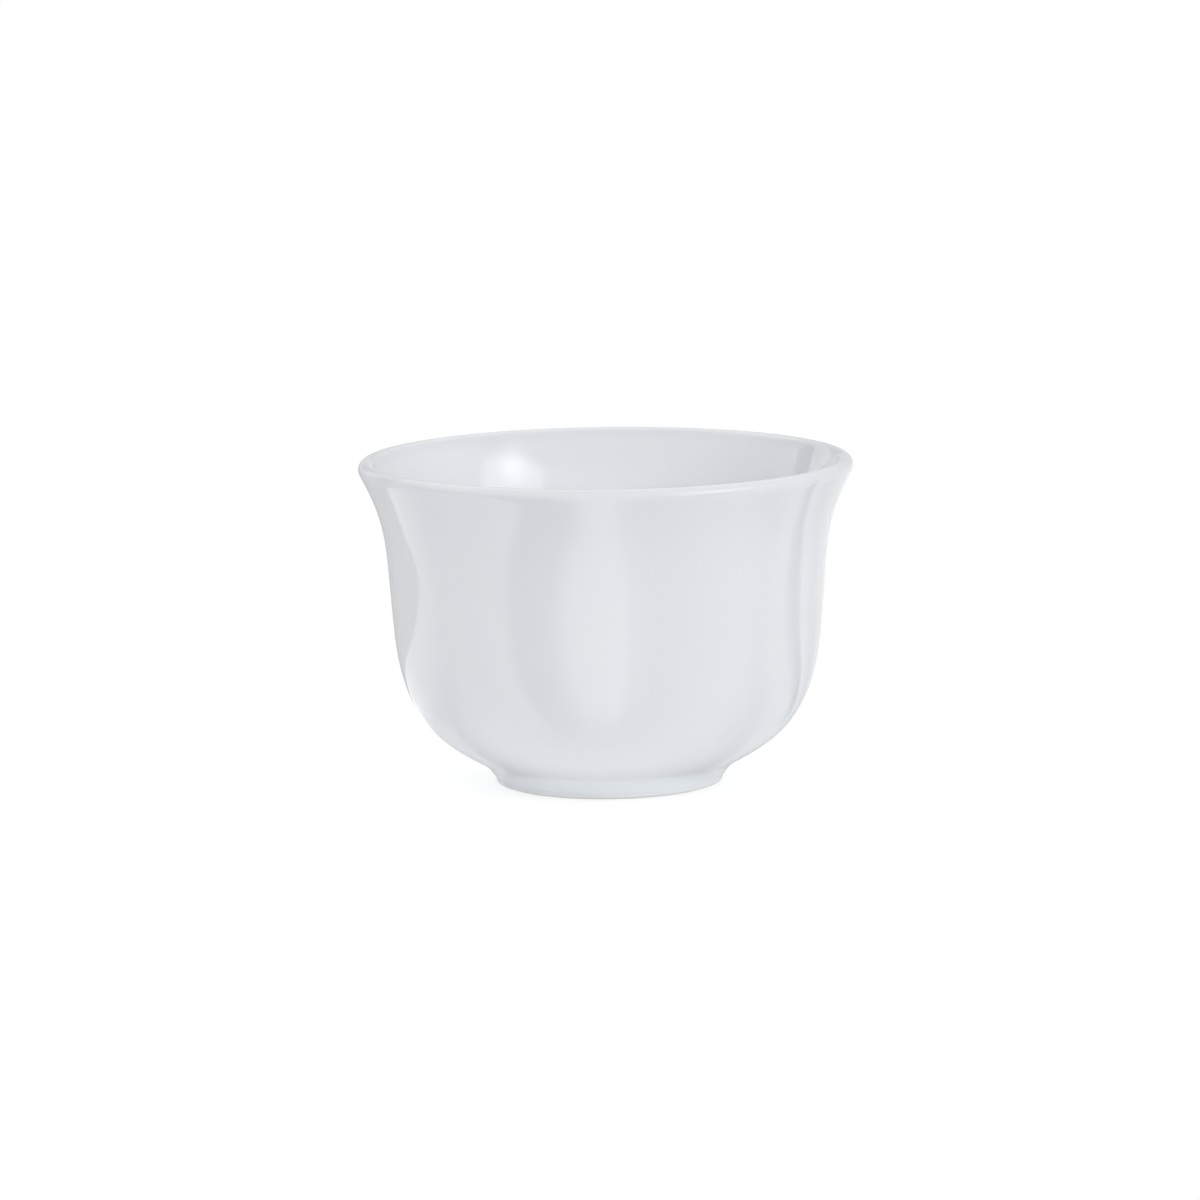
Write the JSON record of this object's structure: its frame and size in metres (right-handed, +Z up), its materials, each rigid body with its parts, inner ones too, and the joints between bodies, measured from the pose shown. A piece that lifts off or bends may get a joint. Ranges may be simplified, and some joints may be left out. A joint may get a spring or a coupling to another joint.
{
  "type": "arabic coffee cup",
  "caption": "Small handle-less coffee cup of glazed white porcelain, with a flared lip, soft fluted lobes and a low foot ring.",
  "frame": {"origin": "centre of the face that the cup stands on", "axes": "+Z up along the cup's axis; one flute faces -Y"},
  "size_m": [0.07, 0.07, 0.0464],
  "materials": {
    "porcelain": "matt, unglazed",
    "glaze": "gloss, cool white"
  },
  "bodies": {
    "root": {"bowl": "porcelain", "foot_ring": "porcelain", "glaze_coat": "glaze", "base_glaze": "glaze"}
  },
  "joints": []
}
